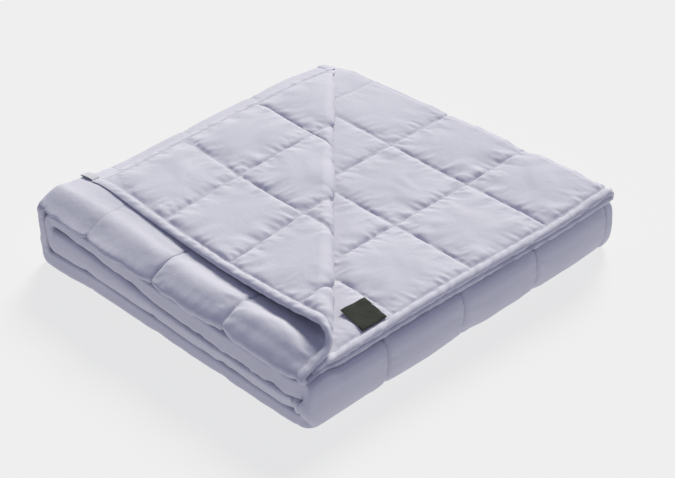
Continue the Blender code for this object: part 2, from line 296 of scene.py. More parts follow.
# %% [markdown]
# ## What makes the pack soft
# A folded blanket is no box. Its front face pulls in where the roll turns a corner. The bulky inner turn
# lifts the layers over it, the front edge's folds push each other out of their even places, and the rims
# droop. Each of these is a small shift of the points, with named sizes and a short function of its own.

# %% How soft the pack is
# The roll's corners: top left, bottom left, bottom right and top right
CORNERS = [(first + last) / 2 for first, last in ALONG.bends[:4]]
CORNER_SQUARE = (4.5, 5.0, 2.2, 2.6)  # how square the strip turns there, 2 being round
CORNER_TUCK = (0.006, 0.001, 0.009, 0.009)  # how deep the front face pulls in
TUCK_ALONG, TUCK_REACH = 0.013, 0.030  # along the strip, and back from the front face
# Heights, and the shifts there: what the inner turn lifts, and how the front edge's folds are pressed
LIFTED = (0.0, 0.024, 0.049, 0.073, 0.108), (0.0, 0.005, 0.017, 0.025, 0.000)
LIFTED_X = (-0.14, -0.45)  # it lifts nothing right of the first, and in full left of the second
PRESSED = (0.0, 0.0228, 0.0466, 0.0707, 0.1000), (0.0, -0.0022, 0.0042, 0.0163, 0.0055)
PRESSED_REACH = 0.060  # back from the front face
SWELL = 0.0055  # how far the slope swells up beside the turned corner's edge
SWELL_HEIGHT = 0.1  # the height where it does so in full
SWELL_OUT, SWELL_UNDER = (-0.070, -0.012), (0.010, 0.060)  # it grows outside the edge and ends under it
SWELL_PAST, SWELL_BESIDE = 0.040, 0.8  # off the diagonal, and the share of its length
WAVE = (0.016, 0.150)  # the pack's own unevenness: share of the height, and spacing
STICK_OUT = 0.009  # how far the top's loose end stands out at the back
STICK_OUT_FROM = (0.12, 0.15)  # in from the right side, and back from the front
# How far a wall stands in near the floor, up to what height, and how far in from the wall that reaches
Lean = namedtuple("Lean", "depth height reach")
FRONT_LEAN, RIGHT_LEAN = Lean(0.0080, 0.060, 0.050), Lean(0.0035, 0.045, 0.045)
LEFT_LEAN = Lean(-0.0050, 0.040, 0.050)  # negative, as it stands out
LEAN_FULL = 0.3  # the share of the height up to which the lean is full
LEAN_LEFT = (0.35, 0.120)  # the share of the front's lean at the left side, and how far that reaches
LEFT_STARTS, LEFT_FADES = (-0.010, 0.004), 0.02  # in height: from the floor, and past the lean's own
FRONT_DROOP, LEFT_DROOP = 0.18, 0.16  # shares of the height
BACK_DROOP = (0.08, -0.05)  # at its left and right ends
DROOP_REACH = (0.042, 0.130, 0.070)  # from the front, the back and the left side
LEFT_DROOP_DEEP = 0.3  # the share of the depth where the left side droops in full

# %% [markdown]
# ## The shifts
# Each function takes points and gives back what it moves. `smooth` fades a shift out.

# %% Shift points of the pack
def tucked(along, y):
    """Pulls the front face in where the strip turns a corner of the roll."""
    near = [np.exp(-(((along - place) / TUCK_ALONG) ** 2)) for place in CORNERS]
    crease = sum(tuck * share for tuck, share in zip(CORNER_TUCK, near))
    return y + crease * (1 - smooth(y, FRONT_Y, FRONT_Y + TUCK_REACH))


def swelling(x, y):
    """1 just outside the turned corner's front edge, 0 away from it, past the diagonal and at its far end."""
    past, beside = beside_diagonal(x, y)
    covered = BINDING - mirrored(past, beside)[0]
    near = smooth(covered, *SWELL_OUT) * (1 - smooth(covered, *SWELL_UNDER))
    return near * smooth(-past, 0.0, SWELL_PAST) * (1 - smooth(beside, 0, SWELL_BESIDE * DIAGONAL_LONG))


def raised(x, y, z, flap):
    """Heights once the layers are lifted, pressed and swollen, with the pack's own unevenness."""
    z = z + np.interp(z, *LIFTED) * smooth(-x, -LIFTED_X[0], -LIFTED_X[1])
    z = z + np.interp(z, *PRESSED) * (1 - smooth(y, FRONT_Y, FRONT_Y + PRESSED_REACH))
    z = z + np.where(flap, 0, SWELL * swelling(x, y)) * (z / SWELL_HEIGHT) ** 2
    return z * (1 + WAVE[0] * noise(x / WAVE[1] + 5, y / WAVE[1] + 3))


def loosened(along, x, y):
    """Lets the top's loose end stand out, most of all at its back corner."""
    at_end = smooth(x, RIGHT_X - STICK_OUT_FROM[0], RIGHT_X)
    at_back = smooth(y, FRONT_Y + STICK_OUT_FROM[1], BACK_Y)
    return x + STICK_OUT * ((along < TOP_RUN) * at_end * at_back)


def leaning(x, y, z):
    """Stands the walls in or out near the floor."""
    leans = FRONT_LEAN, RIGHT_LEAN
    front, right = (lean.depth * (1 - smooth(z, LEAN_FULL * lean.height, lean.height)) for lean in leans)
    least, reach = LEAN_LEFT
    front = front * (least + (1 - least) * smooth(x - LEFT_X, 0, reach))
    y = y + front * (1 - smooth(y, FRONT_Y, FRONT_Y + FRONT_LEAN.reach))
    x = x - right * (1 - smooth(-x, -RIGHT_X, -RIGHT_X + RIGHT_LEAN.reach))
    left = LEFT_LEAN.depth * (1 - smooth(x, LEFT_X, LEFT_X + LEFT_LEAN.reach))
    x = x + left * smooth(z, *LEFT_STARTS) * (1 - smooth(z, LEFT_LEAN.height, LEFT_LEAN.height + LEFT_FADES))
    return x, y


def drooped(x, y, z):
    """Heights once the front, back and left rims have sagged and the floor has pressed the lowest squares."""
    right = np.clip((x - LEFT_X) / (RIGHT_X - LEFT_X), 0, 1)
    deep = (y - FRONT_Y) / (BACK_Y - FRONT_Y)
    back = BACK_DROOP[0] * (1 - right) + BACK_DROOP[1] * right
    droop = FRONT_DROOP * (1 - smooth(y - FRONT_Y, 0, DROOP_REACH[0]))
    droop = droop + back * (1 - smooth(BACK_Y - y, 0, DROOP_REACH[1]))
    at_left = smooth(deep, 0.0, LEFT_DROOP_DEEP) * (1 - smooth(x - LEFT_X, 0, DROOP_REACH[2]))
    droop = droop + LEFT_DROOP * at_left
    return np.maximum(z - droop * np.maximum(z - LEAF, 0) - SUNK, 0)


# %% [markdown]
# ## Carrying points through the folds
# `folded` takes points through the letter fold, the roll and the turned corner, and then through the shifts
# above. Inside a tight bend the cloth has no room, so its inner face is held back there. Turns that lie on
# each other are pressed from a round path to a squarer one.

# %% Carry points from the flat plan into the pack
NO_ROOM, ROOM_GROWS = 0.9 * BEND, 0.6  # how far in the inner face may reach in a bend, and its growth beyond
SQUARENESS, ROUNDED = 7.0, 2.4  # of the letter fold's turns, and of the uppermost one
ROUNDED_FROM = (-0.004, 0.012)  # from the seam on the front edge


def folded(along, across, off):
    """X, Y and Z of points given along and across the strip of leaves."""
    y, height, lean = ACROSS.at(across)
    flat_y = y
    y = y - off * np.sin(lean)
    height = height + off * np.cos(lean)
    shown = (along < TOP_RUN) * smooth(across, *(SEAMS_Y[FRONT_SEAM] + place for place in ROUNDED_FROM))
    y, height = ACROSS.squared(across, y, height, SQUARENESS + (ROUNDED - SQUARENESS) * shown)
    height = np.maximum(height, -NO_ROOM - ROOM_GROWS * ALONG.beyond_bend(along))
    x, z, heading = ALONG.at(along)
    x = x + THIN * height * np.sin(heading)
    z = z - height * np.cos(heading)
    nearest = np.argmin([np.abs(along - corner) for corner in CORNERS], axis=0)
    x, z = ALONG.squared(along, x, z, np.array(CORNER_SQUARE)[nearest])

    past, beside = beside_diagonal(BINDING - along, flat_y)
    upper = across >= UPPER_FROM
    flap = upper & (along < TOP_RUN) & (past > 0)
    flap_x, flap_y, rise = turned_back(past, beside, off)
    y = np.where(upper, y, y - depth_lost(x, y))
    x = np.where(flap, flap_x, x)
    y = np.where(flap, flap_y, y)
    z = np.where(flap, ALONG.rows[0, 2] + 2 * LEAF + rise, z)

    y = tucked(along, y)
    z = raised(x, y, z, flap)
    x = loosened(along, x, y)
    x, y = leaning(x, y, z)
    return x, y, drooped(x, y, z)


def carried(x, y, off):
    """Points of the flat plan, off the cloth's middle plane, in the frame's own coordinates."""
    x, y, off = np.broadcast_arrays(x, y, off)
    along, across = on_strip(x, y)
    x, y, z = folded(along, across, off)
    return np.stack([x - CENTRE_X, y - CENTRE_Y, z], axis=-1)


print("the middle leaf's corner comes to", carried([0.0], 0.0, 0.0).round(3))

# %% [markdown]
# ## The quilted relief
# A filled square is a low cushion: it climbs steeply off its seams and is almost flat in its middle. Thread
# that was sewn under pull gathers the cloth, so short puckers stand across every seam, and a few longer
# creases run in from it.

# %% Height of a square over the middle plane
LIP = 0.0034  # how far from the seam the steep climb reaches
LIP_SHARE = 0.48  # its share of the height
PUCKER = (0.0021, 0.0054, 0.0110)  # height, spacing along the seam, and reach off the seam
DRAW = (0.0022, 0.0160, 0.0260)  # the longer creases
OTHER_WAY = 40  # gives the seams along the length puckers of their own
PUCKERS_END = (0.03, 0.06)  # how far off the seam they die out
WANDER = (2.5, 0.6)  # how slowly they swerve, in their own spacings, and how much
CREASE = (0.0009, 0.0500)  # height and spacing
CREASE_SLANT = 0.6
WARP = (0.06, 0.03)  # spacing and size of what bends the creases
DOME = (0.6, 0.1, 0.2)  # the power that flattens a square's middle, and what plump and plain take off it
PLUMP_LIP = 0.6  # the share of the lip that a plump square loses
HELD = 0.0029  # half the thickness at a seam that the floor or its neighbours press flat
HELD_PUCKERS = 0.7  # the share of its puckers that such a seam loses


def from_seam(place, seams):
    """The signed distance from the nearest seam, that seam's number, and the share of the square passed."""
    square = np.clip(np.searchsorted(seams, place) - 1, 0, len(seams) - 2)
    before, after = place - seams[square], seams[square + 1] - place
    nearer = before < after
    share = np.clip(before / (before + after), 0, 1)
    return np.where(nearer, before, -after), np.where(nearer, square, square + 1), share


def gathered(away, seam, beside, sizes):
    """Puckers across a seam, fading with the distance from it."""
    height, spacing, reach = sizes
    apart = 11.3 * seam + np.where(away > 0, 3.5, 0.0)  # each side of each seam has puckers of its own
    wander = away / (WANDER[0] * spacing)
    wave = noise(beside / spacing + WANDER[1] * wander, apart + wander)
    return height * wave * np.exp(-np.abs(away) / reach) * (1 - smooth(np.abs(away), *PUCKERS_END))


def relief(x, y, full, held, plump, plain):
    """Half the cloth's thickness. full is a square's middle; held is 1 where it is pressed flat; plump is 1
    where the square is round rather than flat; plain is 1 where the seams across the length don't show."""
    away_x, seam_x, share_x = from_seam(x, SEAMS_X)
    away_y, seam_y, share_y = from_seam(y, SEAMS_Y)
    seam_y = seam_y + OTHER_WAY
    inside = (x > BINDING) & (x < LENGTH - BINDING) & (y > BINDING) & (y < WIDTH - BINDING)
    steep = (1 - (1 - plain) * np.exp(-np.abs(away_x) / LIP)) * (1 - np.exp(-np.abs(away_y) / LIP))
    dome_x = plain + (1 - plain) * np.sin(math.pi * share_x)
    dome = (dome_x * np.sin(math.pi * share_y)) ** (DOME[0] - DOME[1] * plump - DOME[2] * plain)
    lip = LIP_SHARE * (1 - PLUMP_LIP * plump * (1 - plain))
    low = SEAM + (HELD - SEAM) * held
    height = (full - low) * (lip * steep + (1 - lip) * dome)
    ripple = (gathered(away_x, seam_x, y, PUCKER) + gathered(away_x, seam_x, y, DRAW)) * (1 - plain)
    ripple = ripple + gathered(away_y, seam_y, x, PUCKER) + gathered(away_y, seam_y, x, DRAW)
    bent, size = WARP
    lengthways = x + CREASE_SLANT * y + size * noise(x / bent + 9, y / bent)
    sideways = y - CREASE_SLANT * x + size * noise(x / bent, y / bent + 9)
    ripple = ripple + CREASE[0] * noise(lengthways / CREASE[1], sideways / (0.5 * CREASE[1]))
    return np.where(inside, low + height + ripple * steep * (1 - HELD_PUCKERS * held), SEAM)


# %% [markdown]
# ## How full each face is
# Where nothing lies on the cloth its squares stand higher, and where it is pressed they are low. The fullness
# changes softly from one place to the next, so each change has a stretch in which it happens.

# %% Loft of either face
LOFT = {"flap": 0.0072, "top": 0.0072, "slope": 0.0130, "right": 0.0105, "nose": 0.00405}
NOSE_REACH, NOSE_FULL = 0.045, 0.6  # off the seam on the front edge, and the share of that where it is full
NOSE_HELD = 0.6  # how far that seam is pressed flat inside the roll
SIDE_PLUMP = 0.5  # how round the squares of the sides are
UPPER_MARGIN = 0.030  # how much of the letter fold's upper turn counts as upper leaf
# Stretches along the roll: where the floor presses, where the right wall stands free, where the slope ends
LEFT_FOOT, RIGHT_FOOT, WALL, RIM, INNER = (ALONG.starts[number] for number in (3, 5, 6, 7, 8))
FLOOR_STARTS, FLOOR_ENDS = (LEFT_FOOT - 0.004, LEFT_FOOT + 0.012), (RIGHT_FOOT - 0.015, RIGHT_FOOT + 0.005)
WALL_STARTS, WALL_ENDS = (RIGHT_FOOT + 0.008, WALL + 0.002), (RIM + 0.003, INNER)
PLAIN_STARTS = (RIGHT_FOOT, RIGHT_FOOT + 0.02)
SLOPE_ENDS = (TOP_RUN - 0.130, TOP_RUN - 0.020)
# Stretches past the diagonal, and past the turned corner's edge
SLOPE_FADES, MIDDLE_SHOWS, FLAP_SHOWS = (-0.030, 0.0), (0.012, 0.040), (0.0, 0.030)
FLAP_COVERS = (-0.004, 0.030)


def under_flap(past, beside):
    """1 where the turned corner lies on the upper leaf, 0 where it doesn't reach."""
    corner_x, corner_y = mirrored(past, beside)
    return smooth(np.minimum(BINDING - corner_x, ACROSS.at(WIDTH)[0] - corner_y), *FLAP_COVERS)


def half_thickness(x, y, side):
    """The relief of either face, with its loft by where it lies in the pack."""
    along, across = on_strip(x, y)
    past, beside = beside_diagonal(BINDING - along, ACROSS.at(across)[0])
    top = along < TOP_RUN
    upper, middle = across > UPPER_FROM - UPPER_MARGIN, across < ACROSS.starts[1]
    full = np.full(np.shape(x), PUFF)
    held = plump = plain = np.zeros(np.shape(x))
    if side > 0:
        above_front = top & (across > SEAMS_Y[FRONT_SEAM])
        nose = 1 - smooth(np.abs(across - SEAMS_Y[FRONT_SEAM]), NOSE_FULL * NOSE_REACH, NOSE_REACH)
        slope = (1 - smooth(past, *SLOPE_FADES)) * (1 - under_flap(past, beside))
        slope = slope * (1 - smooth(along, *SLOPE_ENDS)) * above_front
        plump = slope + SIDE_PLUMP * (upper & ~top)
        plain = smooth(along, *PLAIN_STARTS) * (along < INNER) * upper
        full = full + nose * (LOFT["nose"] - PUFF)
        full = full + slope * (LOFT["slope"] - full)
        wall = smooth(along, *WALL_STARTS) * (1 - smooth(along, *WALL_ENDS))
        full = np.where(upper & ~top, full + wall * (LOFT["right"] - full), full)
        full = np.where(middle & top, PUFF + (LOFT["top"] - PUFF) * smooth(past, *MIDDLE_SHOWS), full)
        held = smooth(along, *FLOOR_STARTS) * (1 - smooth(along, *FLOOR_ENDS)) * upper
        held = np.maximum(held, nose * np.where(above_front, 0.0, NOSE_HELD))
    else:
        full = np.where(upper & top, PUFF + (LOFT["flap"] - PUFF) * smooth(past, *FLAP_SHOWS), full)
    return relief(x, y, full, held, plump, plain)


# %% [markdown]
# ## The shell in sections
# The shell is one large sheet, but only some of it shows. It is cut at seams into sections, and each section
# has a fine net on the faces that show and a coarse one on those that don't. Each is a closed body of its
# own. The coarse net is a part of the fine one's lines, so both meet at the rim.

# %% Sections of the shell
Section = namedtuple("Section", "name long wide cells over under")
BEND_STEP = 0.0016  # the spacing of a net's lines in a bend
LINES_APART = 0.0003  # the least distance of such a line from an even one
BESIDE_BEND = 0.004  # how near a bend a coarser net keeps every line
SECTIONS = [Section(*row) for row in (
    # name, squares along, squares across, cells to a square, and how many cells each face's net takes in one
    ("upper_end", (0, 2), (8, 12), 64, 1, 1),
    ("upper_slope", (2, 4), (8, 12), 64, 1, 1),
    ("middle_top", (0, 4), (0, 4), 64, 1, 8),
    ("lower_top", (0, 4), (4, 8), 30, 2, 2),
    ("upper_left", (4, 6), (8, 12), 48, 1, 8),
    ("upper_floor", (6, 8), (8, 12), 24, 1, 4),
    ("upper_right", (8, 10), (8, 12), 48, 1, 8),
    ("upper_inner", (10, 16), (8, 12), 24, 2, 4),
    ("middle_inner", (4, 16), (0, 4), 16, 2, 4),
    ("lower_inner", (4, 16), (4, 8), 20, 2, 2),
)]


def net_lines(squares, cells, seams, line, fit):
    """The places of a net's lines along a side of a section: evenly in each square, closer in a bend."""
    first, last = squares
    lines = []
    for before, after in zip(seams[first:last], seams[first + 1 : last + 1]):
        lines += [before + step / cells * (after - before) for step in range(cells)]
    lines.append(seams[last])
    if first == 0:
        lines = [0.0, BINDING / 2] + lines
    if last == len(seams) - 1:
        lines += [seams[-1] + BINDING / 2, seams[-1] + BINDING]
    even = np.array(lines)
    closer = np.concatenate([np.arange(start, end + BEND_STEP, BEND_STEP) / fit for start, end in line.bends])
    for place in closer[(closer > even[0]) & (closer < even[-1])]:
        if min(abs(place - even)) > LINES_APART:
            lines.append(place)
    return np.array(sorted(lines))


def kept_lines(lines, step, line, fit):
    """Which lines a coarser net keeps: every so many, the ends, and all that lie in a bend."""
    kept = np.arange(len(lines)) % step == 0
    kept[[0, -1]] = True
    close = line.beyond_bend(lines * fit) < BESIDE_BEND
    return np.flatnonzero(kept | close)


def net_faces(index, flipped):
    """The four-sided faces of a net of points with these numbers."""
    quads = np.stack([index[:-1, :-1], index[1:, :-1], index[1:, 1:], index[:-1, 1:]], axis=-1).reshape(-1, 4)
    return (quads[:, ::-1] if flipped else quads).tolist()


def rim_faces(over, under):
    """Joins two rows of points along a section's rim. Between two shared lines it makes one face."""
    shared = sorted(set(over) & set(under))
    faces = []
    for first, last in zip(shared, shared[1:]):
        high = [over[i] for i in over if first <= i <= last]
        low = [under[i] for i in under if first <= i <= last]
        faces.append(high + low[::-1])
    return faces


def ring_faces(here, there, count, flipped=False):
    """The faces between two closed rows of points, numbered from here and from there."""
    station = np.arange(count)
    after = (station + 1) % count
    quads = np.stack([here + station, here + after, there + after, there + station], axis=-1)
    return (quads[:, ::-1] if flipped else quads).tolist()


def section_mesh(section):
    """Both faces of a section and its rim, with the plan's coordinates for its pattern."""
    fine_x = net_lines(section.long, section.cells, SEAMS_X, ALONG, FIT)
    fine_y = net_lines(section.wide, section.cells, SEAMS_Y, ACROSS, 1.0)
    points, plan, faces, rims = [], [], [], []
    first = 0
    for side, step in ((1, section.over), (-1, section.under)):
        rows = kept_lines(fine_x, step, ALONG, FIT)
        columns = kept_lines(fine_y, step, ACROSS, 1.0)
        x, y = (grid.ravel() for grid in np.meshgrid(fine_x[rows], fine_y[columns], indexing="ij"))
        points.append(carried(x, y, side * half_thickness(x, y, side)))
        plan.append(np.stack([x, y], axis=-1))
        index = first + np.arange(len(x)).reshape(len(rows), len(columns))
        faces += net_faces(index, side > 0)
        rims.append((rows, columns, index))
        first += index.size
    (rows, columns, over), (low_rows, low_columns, under) = rims
    edges = (
        (over[:, 0], under[:, 0], rows, low_rows, False),
        (over[:, -1], under[:, -1], rows, low_rows, True),
        (over[0], under[0], columns, low_columns, True),
        (over[-1], under[-1], columns, low_columns, False),
    )
    for high, low, high_kept, low_kept, flipped in edges:
        rim = rim_faces(dict(zip(high_kept, high.tolist())), dict(zip(low_kept, low.tolist())))
        faces += [loop[::-1] for loop in rim] if flipped else rim
    return np.concatenate(points), faces, np.concatenate(plan)


# %% [markdown]
# ## From points to pieces
# A piece is a mesh with its place in its points. Its UV map is the flat plan in metres, so that a weave
# follows the cloth round every bend.

# %% Make a piece
def placed(name, data):
    made = bpy.data.objects.new(name, data)
    bpy.context.scene.collection.objects.link(made)
    return made


def piece_from(name, points, faces, plan):
    mesh = bpy.data.meshes.new(name)
    mesh.from_pydata(points.tolist(), [], faces)
    corners = np.empty(len(mesh.loops), int)
    mesh.loops.foreach_get("vertex_index", corners)
    layer = mesh.uv_layers.new(name="plan")
    layer.data.foreach_set("uv", plan[corners].astype(np.float32).ravel())
    mesh.shade_smooth()
    mesh.set_sharp_from_angle(angle=math.radians(75))
    print(name, "has", sum(len(loop) - 2 for loop in faces), "triangles")
    return placed(name, mesh)


shell = [piece_from("shell_" + section.name, *section_mesh(section)) for section in SECTIONS]

# %% [markdown]
# ## The binding
# A tape is folded over the edge and stitched through, so its section is a flattened U. The section is a short
# table. It goes round the blanket's plan, with mitred corners, and then through the folds.

# %% Binding
EDGE = 0.0012  # how far the tape stands out past the cut edge
BINDING_STEP = 0.0030
# The upper half of the section: insets from the cut edge, and heights off the middle plane
OUTSIDE = (
    (0.0120, 0.0014), (0.0117, 0.0019), (0.0108, 0.0017), (0.0095, 0.0031), (0.0065, 0.0042),
    (0.0030, 0.0040), (0.0004, 0.0028),
)
INSIDE = ((-0.0003, 0.0011), (0.0060, 0.0011), (0.0120, 0.0011))
BELOW = [tuple((inset, -off) for inset, off in half[::-1]) for half in (OUTSIDE, INSIDE)]
TAPE = OUTSIDE + ((-EDGE, 0.0),) + BELOW[0] + BELOW[1] + INSIDE
OUTER_SKIN = 0.0012  # what lies further off the middle plane is the outer skin, and wrinkles
WRINKLE = (0.30, 0.0065)  # the share by which its height changes, and the spacing
WRINKLE_SLANT, WRINKLE_ACROSS = 0.7, 1.5
PROFILE_STEP = 0.0018  # the UV map's step from one of the section's points to the next
STITCH_INSET, STITCH_OFF = 0.0108, 0.0019


def around(inset):
    """Points of the rectangle that lies inset from the blanket's edge, side by side and evenly."""
    far_x, far_y = LENGTH - inset, WIDTH - inset
    corners = ((inset, inset), (far_x, inset), (far_x, far_y), (inset, far_y))
    sides = []
    for number, start in enumerate(corners):
        end = corners[(number + 1) % 4]
        count = round((WIDTH if number % 2 else LENGTH) / BINDING_STEP)
        share = np.arange(count)[:, None] / count
        sides.append(np.array(start) * (1 - share) + np.array(end) * share)
    return np.concatenate(sides)


def binding_mesh():
    rings, plans = [], []
    for number, (inset, off) in enumerate(TAPE):
        plan = around(inset)
        station = np.arange(len(plan)) * BINDING_STEP
        slant = station + WRINKLE_SLANT * inset * np.sign(off)
        wave = noise(slant / WRINKLE[1], WRINKLE_ACROSS * inset / BINDING)
        slack = 1 + WRINKLE[0] * wave * (abs(off) > OUTER_SKIN)
        rings.append(carried(*plan.T, off * slack))
        plans.append(np.stack([station, np.full(len(plan), number * PROFILE_STEP)], axis=-1))
    count = len(rings[0])
    faces = []
    for number in range(len(TAPE)):
        faces += ring_faces(number * count, (number + 1) % len(TAPE) * count, count)
    return np.concatenate(rings), faces, np.concatenate(plans)


binding = piece_from("edge_binding", *binding_mesh())

# %% [markdown]
# ## The label
# A woven label, sewn in at the binding, with its other three sides free. It lies on the cushion of its
# square and lifts a little at the corner furthest from the stitches. It is bare: it names nobody.

# %% Label
LABEL_AT = (0.0126, 0.0870)
LABEL_SIZE = (0.0420, 0.0390)
LABEL_SKEW = 0.12
LABEL_THICK = 0.0008
LABEL_REST = (0.6, 0.0026)  # the share of its cushion's height that it follows, and its height over that
LABEL_LIFT = 0.0035  # at the corner furthest from the stitches
LABEL_RIPPLE = (0.0004, 9)  # height and pace
LABEL_RIM = (0.45, 0.55, 0.03)  # shares of the thickness: at the rim, and what is added that far in
LABEL_CELLS = 28


def label_mesh():
    share = np.linspace(0, 1, LABEL_CELLS)
    across, along = (grid.ravel() for grid in np.meshgrid(share, share, indexing="ij"))
    x = LABEL_AT[0] + across * LABEL_SIZE[0]
    y = LABEL_AT[1] + along * LABEL_SIZE[1] + LABEL_SKEW * (x - LABEL_AT[0])
    resting = SEAM + (half_thickness(x, y, 1) - SEAM) * LABEL_REST[0] + LABEL_REST[1]
    lift = LABEL_LIFT * across**2 * (1 - along) ** 1.5
    lift = lift + LABEL_RIPPLE[0] * np.sin(along * LABEL_RIPPLE[1]) * across
    edge = np.minimum.reduce([across, 1 - across, along, 1 - along])
    thick = LABEL_THICK * (LABEL_RIM[0] + LABEL_RIM[1] * smooth(edge, 0, LABEL_RIM[2]))
    index = np.arange(len(x)).reshape(LABEL_CELLS, LABEL_CELLS)
    points = [carried(x, y, resting + lift + side * thick / 2) for side in (1, -1)]
    faces = net_faces(index, True) + net_faces(index + len(x), False)
    ring = np.concatenate([index[:-1, 0], index[-1, :-1], index[:0:-1, -1], index[0, :0:-1]])
    after = np.roll(ring, -1)
    faces += np.stack([ring, after, after + len(x), ring + len(x)], axis=-1).tolist()
    plan = np.stack([x, y], axis=-1)
    return np.concatenate(points), faces, np.concatenate([plan, plan])


label = piece_from("bare_label", *label_mesh())

# %% [markdown]
# ## The corner loop
# A short tape folded double and caught in the binding, so that the blanket can be tied into a cover.

# %% Corner loop
LOOP_WIDE, LOOP_OUT, LOOP_HIGH = 0.0120, 0.0230, 0.0090
LOOP_FULL = (0.7, 0.8)  # powers under 1 make the ring fuller than an ellipse
LOOP_TAPE = 0.0011
LOOP_DROP = 0.0010
LOOP_FROM = 0.0010  # from the blanket's end to the tape's side
LOOP_START = WIDTH + EDGE + 0.0004
LOOP_CELLS = (16, 72)


def loop_mesh():
    """A flattened ring, swept across the tape's width."""
    count = LOOP_CELLS[1]
    turn = np.linspace(0, 2 * math.pi, count, endpoint=False)
    points, plans, faces = [], [], []
    for skin in (0, 1):
        long = LOOP_OUT / 2 - skin * LOOP_TAPE
        high = LOOP_HIGH / 2 - skin * LOOP_TAPE
        out = LOOP_START + LOOP_OUT / 2 + long * np.sign(np.cos(turn)) * np.abs(np.cos(turn)) ** LOOP_FULL[0]
        off = -LOOP_DROP + high * np.sign(np.sin(turn)) * np.abs(np.sin(turn)) ** LOOP_FULL[1]
        for number in range(LOOP_CELLS[0]):
            share = number / (LOOP_CELLS[0] - 1)
            x = np.full(count, LOOP_FROM + share * LOOP_WIDE)
            points.append(carried(x, out, off))
            plans.append(np.stack([x, turn * LOOP_OUT / 3], axis=-1))
    total = LOOP_CELLS[0] * count
    for skin in (0, 1):
        for number in range(LOOP_CELLS[0] - 1):
            here = skin * total + number * count
            faces += ring_faces(here, here + count, count, skin == 1)
    for here, flipped in ((0, True), (total - count, False)):
        faces += ring_faces(here, here + total, count, flipped)
    return np.concatenate(points), faces, np.concatenate(plans)


loop = piece_from("tie_loop", *loop_mesh())

# %% [markdown]
# ## Node trees as expressions
# A material is arithmetic on patterns. A small class wraps a socket, so that sums and products on it add
# Math nodes, and one method adds any other node. The same class builds the Geometry Nodes tree below.

# %% A socket that can be used in sums
class Field:
    def __init__(self, tree, socket=None):
        self.tree, self.socket = tree, socket

    def node(self, kind, settings=None, values=None, out=0):
        """Adds a node: its settings first, then the values or links of its sockets."""
        made = self.tree.nodes.new(kind)
        for name, value in (settings or {}).items():
            setattr(made, name, value)
        for name, value in (values or {}).items():
            if isinstance(value, Field):
                self.tree.links.new(value.socket, made.inputs[name])
            else:
                made.inputs[name].default_value = value
        return Field(self.tree, made.outputs[out] if len(made.outputs) else None)

    def maths(self, operation, first, second=0.0):
        return self.node("ShaderNodeMath", {"operation": operation}, {0: first, 1: second})

    def __add__(self, other):
        return self.maths("ADD", self, other)

    def __sub__(self, other):
        return self.maths("SUBTRACT", self, other)

    def __mul__(self, other):
        return self.maths("MULTIPLY", self, other)

    __radd__ = __add__


# %% [markdown]
# ## Cloth
# The blanket is a plain, tightly woven cotton-like cloth in a light lavender grey. Its weave is finer than
# half a millimetre. Close by, the threads show as a bump. From further off a slight cloudiness of the colour
# remains, and creases that are too fine for the mesh. All of it reads the flat plan.

# %% Cloth finish
CLOTH = (0.588, 0.583, 0.677)
TAPE_CLOTH = (0.598, 0.593, 0.688)
LABEL_CLOTH = (0.022, 0.026, 0.019)
LOOP_CLOTH = (0.560, 0.570, 0.610)
# The thread is really the cloth's own colour; it is made darker here to paint the shade that falls in the
# seam grooves and needle holes.
THREAD_WITH_PAINTED_SHADE = (0.43, 0.43, 0.50)
PATTERNS = ((900.0, 2.0, 0.0), (90.0, 4.0, 0.8), (11.0, 3.0, 0.0))  # scale, detail and distortion
SLUB_SHADE, WEAVE_SHADE = 0.06, 0.02  # how much uneven threads and the weave change the colour
CREASE_DEPTH, THREAD_DEPTH = 0.0012, 0.00010
FINISH = {"Roughness": 0.9, "Sheen Weight": 0.12, "Sheen Roughness": 0.5, "Specular IOR Level": 0.25}


def set_inputs(shader, values):
    for name, value in values.items():
        shader.inputs[name].default_value = value


def cloth(name, colour, thread=0.00042, rumple=0.35, cloud=0.05):
    """A woven cloth: thread is its weave's pitch, rumple its share of CREASE_DEPTH, cloud its unevenness."""
    material = bpy.data.materials.new(name)
    material.use_nodes = True
    material.diffuse_color = (*colour, 1)
    tree = material.node_tree
    shader = tree.nodes["Principled BSDF"]
    field = Field(tree)
    plan = field.node("ShaderNodeUVMap", {"uv_map": "plan"})
    parts = field.node("ShaderNodeSeparateXYZ", values={0: plan})
    warp_at = parts * (2 * math.pi / thread)
    weft_at = Field(tree, parts.socket.node.outputs[1]) * (2 * math.pi / thread)
    warp, weft = (field.maths("SINE", place) for place in (warp_at, weft_at))
    weave = warp * weft
    patterns = []
    for scale, detail, bent in PATTERNS:
        values = {"Vector": plan, "Scale": scale, "Detail": detail, "Distortion": bent}
        patterns.append(field.node("ShaderNodeTexNoise", values=values))
    slub, creases, clouds = patterns
    shade = 1 + (clouds - 0.5) * (2 * cloud) + (slub - 0.5) * SLUB_SHADE + weave * WEAVE_SHADE
    tint = {0: 1.0, 6: (*colour, 1), 7: shade}
    tinted = field.node("ShaderNodeMix", {"data_type": "RGBA", "blend_type": "MULTIPLY"}, tint, out=2)
    tree.links.new(tinted.socket, shader.inputs["Base Color"])
    coarse = {"Strength": 1.0, "Distance": CREASE_DEPTH * rumple, "Height": creases}
    fine = {"Strength": 0.5, "Distance": THREAD_DEPTH, "Height": weave * 0.5 + slub}
    fine["Normal"] = field.node("ShaderNodeBump", values=coarse)
    tree.links.new(field.node("ShaderNodeBump", values=fine).socket, shader.inputs["Normal"])
    set_inputs(shader, FINISH)
    return material


